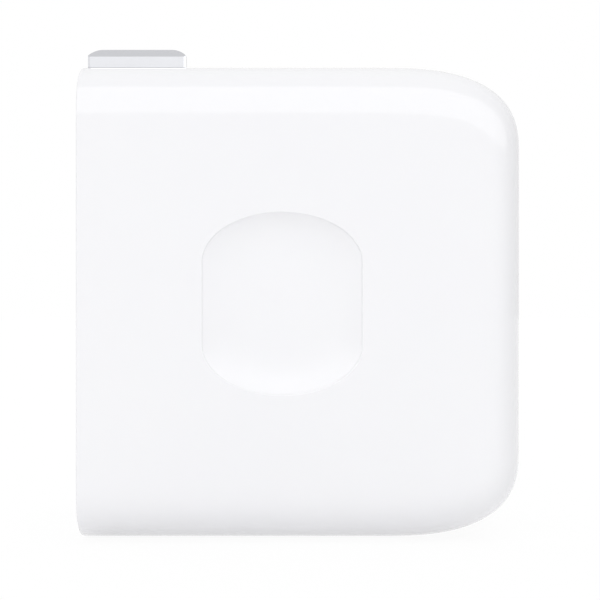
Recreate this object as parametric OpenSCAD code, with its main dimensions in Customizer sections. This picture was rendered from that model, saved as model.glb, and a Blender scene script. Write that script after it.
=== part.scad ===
// Compact wall-plug power adapter: a cup-shaped housing closed by a flat wall plate,
// two fold-away blades on a common barrel, and a USB-C socket opposite the wall side.
// +X points away from the wall, +Y across the blades, +Z up.
// The origin is under the middle of the body, at its base.

/* [Body] */
// Depth of the body, from the wall face to the port face
body_w = 27.6; // [26.8:0.1:36]
// Thickness of the body across the two broad sides
body_t = 28; // [27.4:0.1:36]
// Height of the body
body_h = 30; // [29:0.1:38]
// Thickness of the housing walls
wall_th = 1.7; // [1.5:0.05:1.9]

/* [Rolled edges] */
// How far the long edges roll in across the thickness
edge_roll_y = 5.4; // [4:0.1:6.4]
// How far the long edges roll in over the height
edge_roll_z = 3.6; // [3:0.1:4.4]
// How far the edges of the port face roll in along the depth
port_roll_x = 2.4; // [1.8:0.1:3.2]
// How far the edges of the port face roll in across the thickness
port_roll_y = 3.7; // [3:0.1:5]
// Power of the long edges' curve, where 2 is an ellipse and more is fuller
edge_power = 3; // [2:0.1:3.6]
// Power of the port face's edge curve
port_power = 2.4; // [1.6:0.1:3]
// Length of the port side's rounded corners along the depth
corner_x = 8.7; // [7:0.1:10]
// Height of the port side's rounded corners
corner_z = 5.8; // [5.4:0.1:8]
// Power of the rounded corners' curve
corner_power = 2.8; // [2:0.1:3.4]

/* [Finger dishes] */
// Width of each dish along the depth of the body
dish_w = 10; // [8:0.1:12]
// Height of each dish's straight sides
dish_straight_h = 5.1; // [4:0.1:8]
// Rise of the arc at the top and the bottom of each dish
dish_arc_h = 3.15; // [2:0.05:4]
// Depth of each dish
dish_depth = 0.8; // [0.4:0.05:0.9]
// Height of the upright step at the dish's rim
dish_rim = 0.05; // [0.02:0.01:0.1]
// Distance from the middle of the body to the dish's middle, towards the wall
dish_shift = 1.1; // [0:0.1:2]
// Distance from the middle of the body down to the dish's middle
dish_drop = 0.1; // [0:0.05:1]

/* [Blades] */
// Width of each blade
blade_w = 6.35; // [6:0.05:6.6]
// Thickness of each blade
blade_th = 1.5; // [1.4:0.05:1.6]
// Distance between the middles of the two blades
blade_pitch = 12.7; // [12:0.1:13.2]
// Length of the blades beyond the wall face when they are out
blade_reach = 17.2; // [16:0.1:18.2]
// How far the folded tips stand above the top of the body
tip_show = 1.42; // [0.8:0.02:2]
// How far the folded blades lie behind the wall face
blade_recess = 0.05; // [0.02:0.01:0.3]
// Height of the chamfer across each blade's tip
tip_chamfer_h = 0.52; // [0.3:0.02:0.8]
// Thickness left between the chamfers at the very end of each tip
tip_edge_th = 0.06; // [0.04:0.02:1]
// Chamfer along the blade's long edges
edge_chamfer = 0.14; // [0.05:0.01:0.25]
// Radius of the arc at the two corners of each tip
tip_corner_r = 1.25; // [1:0.05:1.6]
// Distance from each long edge of the blade to the middle of its corner's arc
tip_corner_in = 0.95; // [0.5:0.05:1]

/* [Hinge] */
// Radius of the barrel that carries the blades
barrel_r = 3.1; // [3:0.02:3.14]
// Length of the barrel beyond each blade
barrel_margin = 1.6; // [1.2:0.05:2]
// Radius of the journals at the barrel's ends
journal_r = 1.3; // [1:0.05:1.6]
// Length of each journal
journal_len = 1.8; // [1.4:0.05:2]
// Radial running clearance of the journals in their bearings
running_fit = 0.05; // [0.03:0.01:0.09]
// Radius of the blades' hubs inside the barrel
hub_r = 2.85; // [2.6:0.05:2.9]
// Width of each blade's neck inside the barrel
neck_w = 4.6; // [3.6:0.1:5.2]
// Depth of the two detent flats below the barrel's surface
detent_flat = 0.35; // [0.2:0.05:0.5]
// Width of the barrel's detent cam
detent_w = 5; // [4:0.1:6]
// Clearance of the slots beside and behind each blade
slot_clear = 0.2; // [0.15:0.01:0.3]
// Thickness of the flat wall plate
plate_th = 2; // [1.8:0.05:2.2]
// Thickness of the walls round each blade slot
channel_th = 0.9; // [0.7:0.05:1]
// Height of the hinge ears above and below the hinge axis
ear_half_h = 2.9; // [2.5:0.1:3.2]
// Thickness of each hinge ear
ear_th = 1.6; // [1.3:0.05:1.7]
// Thickness of the cover behind the barrel
cover_th = 1.2; // [1:0.05:1.3]
// Clearance between the barrel and the cover behind it
cover_gap = 0.4; // [0.35:0.01:0.5]
// Radius of the stakes that fix the cover to the hinge ears
stake_r = 0.45; // [0.3:0.05:0.5]
// Thickness of the leaf springs
leaf_th = 0.25; // [0.2:0.01:0.3]
// Width of each contact spring
contact_w = 1.1; // [0.8:0.05:1.3]

/* [Boards] */
// Thickness of the three circuit boards
board_th = 0.8; // [0.6:0.05:1]
// Height of the main board's lower face above the base
board_z = 4; // [3.8:0.1:4.6]
// Gap between the boards' long edges and the housing
board_side_gap = 1; // [0.8:0.1:1.6]
// Thickness of the rails that carry the main board
rail_th = 0.8; // [0.6:0.05:1.2]
// Distance of each rail from the middle
rail_y = 8; // [7.4:0.1:8.4]
// Clearance between the input board and the top of the housing
input_top_gap = 2.5; // [2.2:0.1:4]
// Width of the port board
port_board_w = 9.2; // [8.8:0.1:9.4]
// Clearance between the port board and the top of the housing
port_top_gap = 2.3; // [1.8:0.1:3]

/* [Transformer] */
// Length of the transformer core across the body
core_len = 12.8; // [11:0.1:13]
// Height of the transformer core
core_h = 9.4; // [8:0.1:9.6]
// Thickness of the transformer core
core_d = 5.5; // [4.8:0.1:5.6]
// Thickness of the core's yokes and outer legs
core_leg = 1.7; // [1.2:0.1:1.9]
// Radius of the core's centre post
core_post_r = 1.3; // [1:0.05:1.6]
// Distance of the centre post's two round ends from its middle
core_post_side = 1.6; // [0.8:0.1:1.7]
// Thickness of the bobbin's tube and flanges
bobbin_th = 0.5; // [0.3:0.05:0.6]

/* [Capacitors] */
// Radius of the two bulk capacitors
bulk_r = 2.5; // [2:0.1:2.6]
// Height of the two bulk capacitors
bulk_h = 18; // [12:0.5:19]
// Gap between the bulk capacitors and the main board's edges
bulk_edge_gap = 0.3; // [0.1:0.1:0.4]
// Radius of the output capacitor
output_r = 2.9; // [2:0.1:3]
// Height of the output capacitor
output_h = 7; // [5:0.1:7.2]
// Thickness of the mains filter capacitor
x_cap_d = 4.8; // [4:0.1:5]
// Width of the mains filter capacitor
x_cap_w = 9.6; // [8:0.1:10]
// Height of the mains filter capacitor
x_cap_h = 8.6; // [7:0.1:8.8]

/* [Choke] */
// Outer radius of the choke's ring core
ring_r = 4; // [3.4:0.1:4.2]
// Inner radius of the choke's ring core
ring_hole_r = 2.2; // [1.8:0.1:2.4]
// Thickness of the choke's ring core
ring_d = 3; // [2.4:0.1:3.4]
// Depth of wire on each side of the ring core
wire_build = 0.6; // [0.4:0.05:0.7]

/* [USB-C socket] */
// Width inside the socket's metal shell
socket_w = 8.34; // [8.3:0.01:8.4]
// Height inside the socket's metal shell
socket_h = 2.56; // [2.5:0.01:2.6]
// Thickness of the socket's metal shell
socket_th = 0.3; // [0.2:0.05:0.35]
// How far the socket's mouth lies behind the port face
socket_recess = 0.25; // [0.1:0.05:0.4]
// Clearance between the socket and the hole in the housing
socket_clear = 0.12; // [0.08:0.01:0.2]
// Length of the socket from its mouth to the port board
socket_len = 8.9; // [8.4:0.1:9]
// Depth of the socket's cavity
socket_depth = 6.2; // [5.8:0.1:6.6]
// Width of the socket's tongue
tongue_w = 6.69; // [6.5:0.01:6.8]
// Thickness of the socket's tongue
tongue_th = 0.7; // [0.6:0.01:0.8]
// Length of the socket's tongue inside the cavity
tongue_len = 4.45; // [4:0.05:5]
// Number of contacts on each face of the tongue
contact_count = 12; // [8:1:12]
// Distance between neighbouring contacts
contact_pitch = 0.5; // [0.45:0.01:0.52]

/* [Hidden] */

// Fineness of the curved surfaces
roll_steps = 9;
corner_steps = 12;
dish_steps = 6;
round_fn = 64;

// Powers of the dish's bowl: its fall over the height, the softness of its shoulder, its sides
bowl_power = 5;
bowl_shoulder = 1.7;
bowl_side_power = 4.5;

// How much less the inside of an edge rolls than its outside, per unit of wall
roll_shrink = 0.9;
// Running past a face so that a cut goes right through
past = 1;
// Gap between pieces that are assembled side by side
seat_gap = 0.1;
// Gap of the moving pieces beside fixed faces
side_gap = 0.2;
// Room left above the transformer for the filter parts
stack_gap = 0.5;

wall_x = -body_w / 2;
port_x = body_w / 2;
mid_z = body_h / 2;

// Hinge axis: the folded blade lies just behind the wall face
pivot_x = wall_x + blade_recess + blade_w / 2;
pivot_arm = blade_reach + pivot_x - wall_x;
tip_z = body_h + tip_show;
pivot_z = tip_z - pivot_arm;
blade_y = blade_pitch / 2;
barrel_half = blade_y + blade_th / 2 + barrel_margin;
slot_half_w = blade_th / 2 + slot_clear;
slot_back_x = pivot_x + blade_w / 2 + slot_clear;
window_half_h = blade_w / 2 + slot_clear / 2;
shoulder_z = pivot_z + sqrt(barrel_r * barrel_r - neck_w * neck_w / 4);
plate_back_x = wall_x + plate_th;
bearing_r = journal_r + running_fit;
ear_y = barrel_half + side_gap;
ear_back_x = pivot_x + barrel_r + side_gap;
cover_front_x = pivot_x + barrel_r + cover_gap;
cover_back_x = cover_front_x + cover_th;
cover_half_y = ear_y + ear_th;
cover_margin = 0.6;
stake_len = cover_back_x - ear_back_x;
stake_y = ear_y + ear_th / 2;
stake_rise = (bearing_r + ear_half_h) / 2;
foot_notch_h = 1.2;
cover_low_z = pivot_z - window_half_h - foot_notch_h - cover_margin;
cover_high_z = pivot_z + window_half_h + cover_margin;
channel_low_z = cover_high_z + seat_gap;
channel_high_z = body_h - wall_th - side_gap;

// Ribs inside the broad sides that stop the wall plate
stop_th = 0.7;
stop_len = 1.2;
stop_half_h = 8;

// Electronics bay: the input side is placed from the hinge cover
bay_x = cover_back_x + side_gap;
bay_half_y = body_t / 2 - wall_th;
floor_z = wall_th;
board_half = bay_half_y - board_side_gap;
board_top_z = board_z + board_th;
main_board_end_x = port_x - wall_th - port_roll_x + roll_shrink * wall_th;
input_front_x = bay_x + board_th;
input_board_top_z = body_h - wall_th - input_top_gap;

// The output side is placed from the port face
socket_mouth_x = port_x - socket_recess;
socket_end_x = socket_mouth_x - socket_depth;
socket_top_z = mid_z + socket_h / 2 + socket_th;
port_board_front_x = socket_mouth_x - socket_len;
port_board_x = port_board_front_x - board_th;
port_board_top_z = body_h - wall_th - port_top_gap;
sheet_th = 0.2;
sheet_x = port_board_x - seat_gap - sheet_th;
bulk_x = port_board_front_x + seat_gap + bulk_r;
bulk_y = board_half - bulk_edge_gap - bulk_r;

// The transformer stands against the isolation sheet, with the filter parts above it
core_x = sheet_x - seat_gap - core_d;
core_z = board_top_z;
winding_r = core_d / 2;
upper_z = core_z + core_h + stack_gap;
spreader_half_w = rail_y - rail_th / 2 - 3 * side_gap;

// Sizes of the small parts on the boards
spreader_th = 0.5;
fuse_r = 1.3;
fuse_len = 7;
thermistor_r = 2;
y_cap_r = 1.9;
disc_th = 2.2;
leg_h = 0.5;
leg_r = 0.3;
side_part_step = 2;
side_part_y = core_len / 2 + side_gap + side_part_step;
bridge_w = 4.8;
bridge_h = 4;
bridge_th = 1.2;
controller_w = 6;
controller_h = 0.9;
opto_w = 3.4;
opto_len = 3.2;
opto_h = 2;
sync_w = 5;
sync_len = 5.6;
sync_h = 1.2;
pd_w = 4;
pd_h = 0.8;
load_w = 3;
chip_gap = 0.3;
pd_low_z = socket_top_z + chip_gap;

// ---- curves ---------------------------------------------------------------

// A quarter of a superellipse from [a, 0] to [0, b]
function quarter(a, b, power, steps) =
    [for (i = [0:steps]) let (t = 90 * i / steps)
        [a * pow(cos(t), 2 / power), b * pow(sin(t), 2 / power)]];

// How far the port face's edge is still rolled in at a depth below the face, as a share of its roll
function rolled(depth, roll) =
    let (u = max(0, 1 - depth / roll)) 1 - pow(1 - pow(u, port_power), 1 / port_power);

// Size of a roll on the inside of a wall
function inner_roll(roll, inset) = roll - roll_shrink * inset;

// Side outline of the body, seen across its thickness, rolled in by dx and dz
function side_outline(inset, dx, dz, left) =
    let (cx = port_x - corner_x, cz = mid_z - corner_z,
        ax = corner_x - inset - dx, az = corner_z - inset - dz,
        c = quarter(ax, az, corner_power, corner_steps))
    concat([[left, -cz - az]],
        [for (i = [corner_steps:-1:0]) [cx + c[i][0], -cz - c[i][1]]],
        [for (i = [0:corner_steps]) [cx + c[i][0], cz + c[i][1]]],
        [[left, cz + az]]);

// Front outline of the body, seen from the wall
function front_outline(inset) =
    let (ry = inner_roll(edge_roll_y, inset), rz = inner_roll(edge_roll_z, inset),
        cy = body_t / 2 - inset - ry, cz = mid_z - inset - rz,
        c = quarter(ry, rz, edge_power, roll_steps))
    concat([for (p = c) [cy + p[0], mid_z + cz + p[1]]],
        [for (i = [roll_steps:-1:0]) [-cy - c[i][0], mid_z + cz + c[i][1]]],
        [for (p = c) [-cy - p[0], mid_z - cz - p[1]]],
        [for (i = [roll_steps:-1:0]) [cy + c[i][0], mid_z - cz - c[i][1]]]);

// Depth of a dish's bowl on its level line of the given height, both as shares of the whole
function bowl_fall(share) = pow(1 - pow(share, bowl_power), 1 / bowl_shoulder);

// Outline of a finger dish: straight sides and an elliptic arc above and below.
// The deeper level lines draw in faster across the width than over the height
function dish_outline(share) =
    let (n = 2 * corner_steps, narrow = pow(1 - bowl_fall(share), 1 / bowl_side_power))
    [for (s = [1, -1], i = [0:n]) let (t = 180 * i / n)
        s * [narrow * dish_w / 2 * cos(t), share * (dish_straight_h / 2 + dish_arc_h * sin(t))]];

// ---- building blocks ------------------------------------------------------

// A solid through rings of points that all have the same count
module loft(rings) {
    n = len(rings[0]);
    last = len(rings) - 1;
    points = [for (r = rings) each r];
    sides = [for (k = [0:last - 1], i = [0:n - 1]) let (j = (i + 1) % n)
        each [[k * n + i, k * n + j, (k + 1) * n + j],
            [k * n + i, (k + 1) * n + j, (k + 1) * n + i]]];
    caps = [[for (i = [n - 1:-1:0]) i], [for (i = [0:n - 1]) last * n + i]];
    polyhedron(points = points, faces = concat(caps, sides), convexity = 4);
}

// The rolled form of the body, or of the space inside it
module body_form(inset, left) {
    ry = inner_roll(edge_roll_y, inset);
    rz = inner_roll(edge_roll_z, inset);
    px = inner_roll(port_roll_x, inset);
    py = inner_roll(port_roll_y, inset);
    half = body_t / 2 - inset;
    c = quarter(ry, rz, edge_power, roll_steps);
    near = [for (p = c) let (depth = ry - p[0])
        [-half + depth, px * rolled(depth, py), rz - p[1]]];
    far = [for (i = [roll_steps:-1:0]) [-near[i][0], near[i][1], near[i][2]]];
    loft([for (s = concat(near, far))
        [for (p = side_outline(inset, s[1], s[2], left)) [p[0], s[0], mid_z + p[1]]]]);
}

// The space that a finger dish takes out of the broad side on the given hand
module dish_cut(hand) {
    levels = concat([[1, -past], [1, dish_rim]],
        [for (i = [1:dish_steps]) let (share = cos(90 * i / (dish_steps + 1)))
            [share, dish_rim + (dish_depth - dish_rim) * bowl_fall(share)]]);
    mirror([0, hand > 0 ? 1 : 0, 0])
        loft([for (v = levels) [for (p = dish_outline(v[0]))
            [p[0] - dish_shift, -body_t / 2 + v[1], mid_z - dish_drop + p[1]]]]);
}

// A box from its two corners
module block(low, high) {
    translate(low) cube(high - low);
}

// A profile in the plane of height and thickness, run along the depth
module along_x(from, to) {
    translate([from, 0, 0]) rotate([90, 0, 90]) linear_extrude(to - from) children();
}

// A cylinder along the thickness, on the hinge axis
module on_hinge(r, from, to) {
    translate([pivot_x, from, pivot_z]) rotate([-90, 0, 0])
        cylinder(r = r, h = to - from, $fn = round_fn);
}

// A flat oval of the socket's kind, run along the depth
module oval(w, h, from, to) {
    for (s = [-1, 1])
        translate([from, s * (w - h) / 2, mid_z]) rotate([0, 90, 0])
            cylinder(d = h, h = to - from, $fn = round_fn);
    block([from, -(w - h) / 2, mid_z - h / 2], [to, (w - h) / 2, mid_z + h / 2]);
}

// ---- housing --------------------------------------------------------------

module blade_slots(from_x, to_x, low, high) {
    for (s = [-1, 1])
        block([from_x, s * blade_y - slot_half_w, low], [to_x, s * blade_y + slot_half_w, high]);
}

module housing_shell() {
    color("#f6f6f8") {
        difference() {
            body_form(0, wall_x);
            body_form(wall_th, wall_x - past);
            for (hand = [-1, 1]) dish_cut(hand);
            blade_slots(wall_x - past, slot_back_x, mid_z, body_h + past);
            oval(socket_w + 2 * (socket_th + socket_clear), socket_h + 2 * (socket_th + socket_clear),
                port_x - 2 * wall_th, port_x + past);
        }
        for (s = [-1, 1])
            block([bay_x, s * rail_y - rail_th / 2, floor_z - wall_th / 4],
                [main_board_end_x, s * rail_y + rail_th / 2, board_z]);
        for (far = [0, 1])
            mirror([0, far, 0])
                block([plate_back_x + seat_gap / 2, bay_half_y - stop_th, mid_z - stop_half_h],
                    [plate_back_x + stop_len, bay_half_y + wall_th / 4, mid_z + stop_half_h]);
    }
}

module wall_plate() {
    color("#f4f4f6") difference() {
        union() {
            along_x(wall_x, plate_back_x) polygon(front_outline(wall_th + seat_gap / 2));
            for (s = [-1, 1]) {
                block([plate_back_x - plate_th / 2, s * blade_y - slot_half_w - channel_th, channel_low_z],
                    [slot_back_x + channel_th, s * blade_y + slot_half_w + channel_th, channel_high_z]);
                hinge_ear(s);
            }
            at_stakes(-past / 2) cylinder(r = stake_r, h = stake_len + past / 2, $fn = round_fn);
        }
        blade_slots(wall_x - past, slot_back_x, pivot_z - window_half_h, body_h + past);
        block([wall_x - past, -ear_y, pivot_z - window_half_h],
            [plate_back_x + past, ear_y, pivot_z + window_half_h]);
        on_hinge(bearing_r, -cover_half_y, cover_half_y);
    }
}

// One hinge ear of the wall plate, with a saddle that is open at the back
module hinge_ear(hand) {
    low_y = hand > 0 ? ear_y : -ear_y - ear_th;
    difference() {
        block([plate_back_x - plate_th / 2, low_y, pivot_z - ear_half_h],
            [ear_back_x, low_y + ear_th, pivot_z + ear_half_h]);
        on_hinge(bearing_r, low_y - past, low_y + ear_th + past);
        block([pivot_x, low_y - past, pivot_z - bearing_r],
            [ear_back_x + past, low_y + ear_th + past, pivot_z + bearing_r]);
    }
}

// The four stakes stand on the backs of the ears, above and below each saddle
module at_stakes(from) {
    for (y = [-stake_y, stake_y], rise = [-stake_rise, stake_rise])
        translate([ear_back_x + from, y, pivot_z + rise]) rotate([0, 90, 0]) children();
}

// The cover's two tongues close the saddles of the ears behind the journals
module hinge_cover() {
    tongue_half_h = bearing_r - running_fit;
    notch_half_w = contact_w / 2 + seat_gap;
    color("#dcdcde") difference() {
        union() {
            block([cover_front_x, -cover_half_y, cover_low_z], [cover_back_x, cover_half_y, cover_high_z]);
            for (low_y = [-ear_y - ear_th, ear_y])
                block([pivot_x + running_fit, low_y, pivot_z - tongue_half_h],
                    [cover_front_x + cover_th / 2, low_y + ear_th, pivot_z + tongue_half_h]);
        }
        on_hinge(bearing_r, -cover_half_y - past, cover_half_y + past);
        at_stakes(0) cylinder(r = stake_r + running_fit, h = stake_len + past, $fn = round_fn);
        for (s = [-1, 1])
            block([cover_front_x - past, s * blade_y - notch_half_w, cover_low_z - past],
                [cover_back_x + past, s * blade_y + notch_half_w, cover_low_z + foot_notch_h]);
    }
}

// ---- fold-away blades -----------------------------------------------------

// Side view of a blade: hub, neck, shoulders and a tip whose corners are short arcs
module blade_profile() {
    difference() {
        union() {
            translate([pivot_x, pivot_z]) circle(r = hub_r, $fn = round_fn);
            translate([pivot_x - neck_w / 2, pivot_z]) square([neck_w, shoulder_z - pivot_z + past]);
            intersection() {
                translate([pivot_x - blade_w / 2, shoulder_z]) square([blade_w, tip_z - shoulder_z]);
                tip_outline();
            }
        }
        translate([pivot_x, pivot_z]) circle(r = journal_r, $fn = round_fn);
    }
}

// Each arc starts level with the top of the tip and is cut off by the blade's long edge
module tip_outline() {
    arc_x = blade_w / 2 - tip_corner_in;
    translate([pivot_x - arc_x, shoulder_z]) square([2 * arc_x, tip_z - shoulder_z]);
    translate([pivot_x - blade_w, shoulder_z])
        square([2 * blade_w, tip_z - tip_corner_r - shoulder_z]);
    for (s = [-1, 1])
        translate([pivot_x + s * arc_x, tip_z - tip_corner_r]) circle(r = tip_corner_r, $fn = round_fn);
}

// One blade; what lies outside the chamfers across the tip and along the edges is cut off
module blade(y) {
    h = blade_th / 2;
    color("#d9dade") difference() {
        translate([0, y + h, 0]) rotate([90, 0, 0]) linear_extrude(blade_th) blade_profile();
        for (s = [-1, 1]) {
            along_x(pivot_x - blade_w, pivot_x + blade_w)
                polygon([[y + s * tip_edge_th / 2, tip_z], [y + s * h, tip_z - tip_chamfer_h],
                    [y + s * 2 * h, tip_z - tip_chamfer_h], [y + s * 2 * h, tip_z + past],
                    [y + s * tip_edge_th / 2, tip_z + past]]);
            for (e = [-1, 1])
                translate([pivot_x + e * blade_w / 2, y + s * h, shoulder_z - past / 10])
                    rotate([0, 0, 45])
                        linear_extrude(tip_z - shoulder_z + past)
                            square(edge_chamfer * sqrt(2), center = true);
        }
    }
}

module blade_line() {
    blade(-blade_y);
}

module blade_neutral() {
    blade(blade_y);
}

// The barrel is moulded round the blades; a groove over each hub lets its spring reach it
module prong_rotor() {
    flat_r = barrel_r - detent_flat;
    color("#f2f2f4") difference() {
        union() {
            on_hinge(barrel_r, -barrel_half, barrel_half);
            on_hinge(journal_r, -barrel_half - journal_len, barrel_half + journal_len);
        }
        for (s = [-1, 1])
            difference() {
                on_hinge(barrel_r + past, s * blade_y - blade_th / 2, s * blade_y + blade_th / 2);
                on_hinge(journal_r, s * blade_y - blade_th, s * blade_y + blade_th);
            }
        // One detent flat lies behind the barrel when the blades are folded, one when they are out
        block([pivot_x + flat_r, -detent_w / 2, pivot_z - barrel_r],
            [pivot_x + barrel_r + past, detent_w / 2, pivot_z + barrel_r]);
        block([pivot_x - barrel_r, -detent_w / 2, pivot_z - barrel_r - past],
            [pivot_x + barrel_r, detent_w / 2, pivot_z - flat_r]);
    }
}

// ---- springs --------------------------------------------------------------

// A bent leaf of even thickness, w wide and centred on y, behind a line of side-view points
module leaf(points, w, y) {
    n = len(points);
    along = [for (i = [0:n - 1])
        let (d = points[min(i + 1, n - 1)] - points[max(i - 1, 0)]) d / norm(d)];
    behind = [for (i = [n - 1:-1:0]) points[i] + leaf_th * [along[i][1], -along[i][0]]];
    translate([0, y + w / 2, 0]) rotate([90, 0, 0])
        linear_extrude(w) polygon(concat(points, behind));
}

// A leaf that lies on the cover and bows forward to the given radius of the barrel
function bow(radius) =
    let (seat_x = cover_front_x - leaf_th, crest_x = pivot_x + radius + running_fit,
        low = 0.8 * radius, high = 0.65 * radius, flat = 0.2 * radius)
    [[seat_x, pivot_z - low], [crest_x, pivot_z - flat], [crest_x, pivot_z + flat], [seat_x, pivot_z + high]];

module detent_spring() {
    color("#b9bcc0")
        leaf(concat([[cover_front_x - leaf_th, cover_low_z + cover_margin]], bow(barrel_r)),
            detent_w - 2 * side_gap, 0);
}

module contact_spring(y) {
    foot_z = cover_low_z + foot_notch_h / 2;
    color("#c8895a")
        leaf(concat([[bay_x, foot_z], [cover_front_x - leaf_th, foot_z]], bow(hub_r)), contact_w, y);
}

module contact_spring_line() {
    contact_spring(-blade_y);
}

module contact_spring_neutral() {
    contact_spring(blade_y);
}

// ---- boards ---------------------------------------------------------------

module input_board() {
    color("#2f6b3c")
        block([bay_x, -board_half, board_top_z], [input_front_x, board_half, input_board_top_z]);
}

module main_board() {
    color("#2f6b3c")
        block([bay_x, -board_half, board_z], [main_board_end_x, board_half, board_top_z]);
}

module port_board() {
    color("#2f6b3c")
        block([port_board_x, -port_board_w / 2, board_top_z],
            [port_board_front_x, port_board_w / 2, port_board_top_z]);
}

// ---- parts on the input side ----------------------------------------------

// A disc on edge beside the transformer, with two short legs on the main board
module disc_part(r, low_x) {
    y = core_len / 2 + seat_gap + r;
    translate([low_x, y, board_top_z + leg_h + r]) rotate([0, 90, 0])
        cylinder(r = r, h = disc_th, $fn = round_fn);
    for (s = [-1, 1])
        translate([low_x + disc_th / 2, y + s * r / 2, board_top_z])
            cylinder(r = leg_r, h = leg_h + r / 2, $fn = 24);
}

module fuse() {
    cap_h = 1;
    cap_th = 0.15;
    color("#d8d2c0") translate([input_front_x + side_gap + fuse_r, -side_part_y, board_top_z]) {
        cylinder(r = fuse_r, h = cap_h, $fn = round_fn);
        cylinder(r = fuse_r - cap_th, h = fuse_len, $fn = round_fn);
        translate([0, 0, fuse_len - cap_h]) cylinder(r = fuse_r, h = cap_h, $fn = round_fn);
    }
}

module inrush_thermistor() {
    color("#20242a")
        disc_part(thermistor_r, input_front_x + side_gap);
}

module y_capacitor() {
    color("#3b62a8")
        disc_part(y_cap_r, port_board_front_x - side_gap - disc_th);
}

module x_capacitor() {
    color("#d9b433")
        block([input_front_x, -x_cap_w - side_gap, upper_z],
            [input_front_x + x_cap_d, -side_gap, upper_z + x_cap_h]);
}

// The choke's axis runs along the depth, and its wire lies against the input board
module on_choke() {
    translate([input_front_x + wire_build, side_gap + ring_r + wire_build, upper_z + ring_r + wire_build])
        rotate([0, 90, 0]) children();
}

module choke_core() {
    color("#33363a") on_choke() difference() {
        cylinder(r = ring_r, h = ring_d, $fn = round_fn);
        translate([0, 0, -past]) cylinder(r = ring_hole_r, h = ring_d + 2 * past, $fn = round_fn);
    }
}

module choke_windings() {
    wound_angle = 130;
    color("#b4652d") on_choke()
        for (middle = [90, 270])
            rotate([0, 0, middle - wound_angle / 2])
                rotate_extrude(angle = wound_angle, $fn = round_fn) difference() {
                    translate([ring_hole_r - wire_build, -wire_build])
                        square([ring_r - ring_hole_r + 2 * wire_build, ring_d + 2 * wire_build]);
                    translate([ring_hole_r, 0]) square([ring_r - ring_hole_r, ring_d]);
                }
}

module bridge_rectifier() {
    color("#1d1f22")
        block([bay_x + side_gap, controller_w / 2 + chip_gap, board_z - bridge_th],
            [bay_x + side_gap + bridge_w, controller_w / 2 + chip_gap + bridge_h, board_z]);
}

module switch_controller() {
    color("#1b1c20")
        block([bay_x + side_gap, -controller_w / 2, board_z - controller_h],
            [bay_x + side_gap + controller_w, controller_w / 2, board_z]);
}

module thermal_pad() {
    color("#8fa3b5")
        block([bay_x + side_gap, -controller_w / 2, floor_z + spreader_th],
            [bay_x + side_gap + controller_w, controller_w / 2, board_z - controller_h]);
}

module heat_spreader() {
    color("#b6bac0")
        block([bay_x, -spreader_half_w, floor_z],
            [port_x - corner_x, spreader_half_w, floor_z + spreader_th]);
}

// ---- transformer ----------------------------------------------------------

// A drawn-out round, standing on its end between two heights
module long_round(r, from, to) {
    translate([core_x + core_d / 2, 0, from]) linear_extrude(to - from) {
        for (s = [-1, 1])
            translate([0, s * core_post_side]) circle(r = r, $fn = round_fn);
        square([2 * r, 2 * core_post_side], center = true);
    }
}

module transformer_core() {
    color("#3a3d41") {
        difference() {
            block([core_x, -core_len / 2, core_z], [core_x + core_d, core_len / 2, core_z + core_h]);
            block([core_x - past, -core_len / 2 + core_leg, core_z + core_leg],
                [core_x + core_d + past, core_len / 2 - core_leg, core_z + core_h - core_leg]);
        }
        long_round(core_post_r, core_z + core_leg / 2, core_z + core_h - core_leg / 2);
    }
}

module transformer_bobbin() {
    tube_r = core_post_r + seat_gap / 2 + bobbin_th;
    low = core_z + core_leg;
    high = core_z + core_h - core_leg;
    color("#2a2a2c") difference() {
        union() {
            long_round(tube_r, low, high);
            long_round(winding_r, low, low + bobbin_th);
            long_round(winding_r, high - bobbin_th, high);
        }
        long_round(core_post_r + seat_gap / 2, low - past, high + past);
    }
}

module transformer_winding() {
    tube_r = core_post_r + seat_gap / 2 + bobbin_th;
    low = core_z + core_leg + bobbin_th;
    high = core_z + core_h - core_leg - bobbin_th;
    color("#e3c53a") difference() {
        long_round(winding_r - seat_gap, low, high);
        long_round(tube_r, low - past, high + past);
    }
}

module isolation_sheet() {
    color("#f1e7c9")
        block([sheet_x, -core_len / 2 - side_gap, board_top_z],
            [sheet_x + sheet_th, core_len / 2 + side_gap, port_board_top_z]);
}

// ---- parts on the output side ---------------------------------------------

// An upright can with a groove rolled in near its foot and a rounded top edge
module can(r, h, x, y) {
    groove = 0.2;
    edge_r = 0.4;
    foot_h = 1.6;
    translate([x, y, board_top_z]) rotate_extrude($fn = round_fn) difference() {
        union() {
            square([r, h - edge_r]);
            square([r - edge_r, h]);
            translate([r - edge_r, h - edge_r]) circle(r = edge_r, $fn = 32);
        }
        translate([r + groove, foot_h]) circle(r = 2 * groove, $fn = 32);
        translate([-r, 0]) square([r, h]);
    }
}

module bulk_capacitors() {
    color("#1f2328") for (s = [-1, 1]) can(bulk_r, bulk_h, bulk_x, s * bulk_y);
}

module output_capacitor() {
    color("#c9ccd0") can(output_r, output_h, port_board_front_x + side_gap + output_r, 0);
}

module optocoupler() {
    color("#e9e6dd")
        block([port_board_front_x - side_gap - opto_w, -side_part_y - opto_len / 2, board_top_z],
            [port_board_front_x - side_gap, -side_part_y + opto_len / 2, board_top_z + opto_h]);
}

module sync_rectifier() {
    color("#1b1c20")
        block([main_board_end_x - chip_gap - sync_w, -sync_len / 2, board_z - sync_h],
            [main_board_end_x - chip_gap, sync_len / 2, board_z]);
}

module pd_controller() {
    color("#1b1c20")
        block([port_board_front_x, -pd_w / 2, pd_low_z],
            [port_board_front_x + pd_h, pd_w / 2, pd_low_z + pd_w]);
}

module load_switch() {
    low_z = pd_low_z + pd_w + chip_gap;
    color("#24262a")
        block([port_board_front_x, -load_w / 2, low_z],
            [port_board_front_x + pd_h, load_w / 2, low_z + load_w]);
}

// ---- USB-C socket ---------------------------------------------------------

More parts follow.
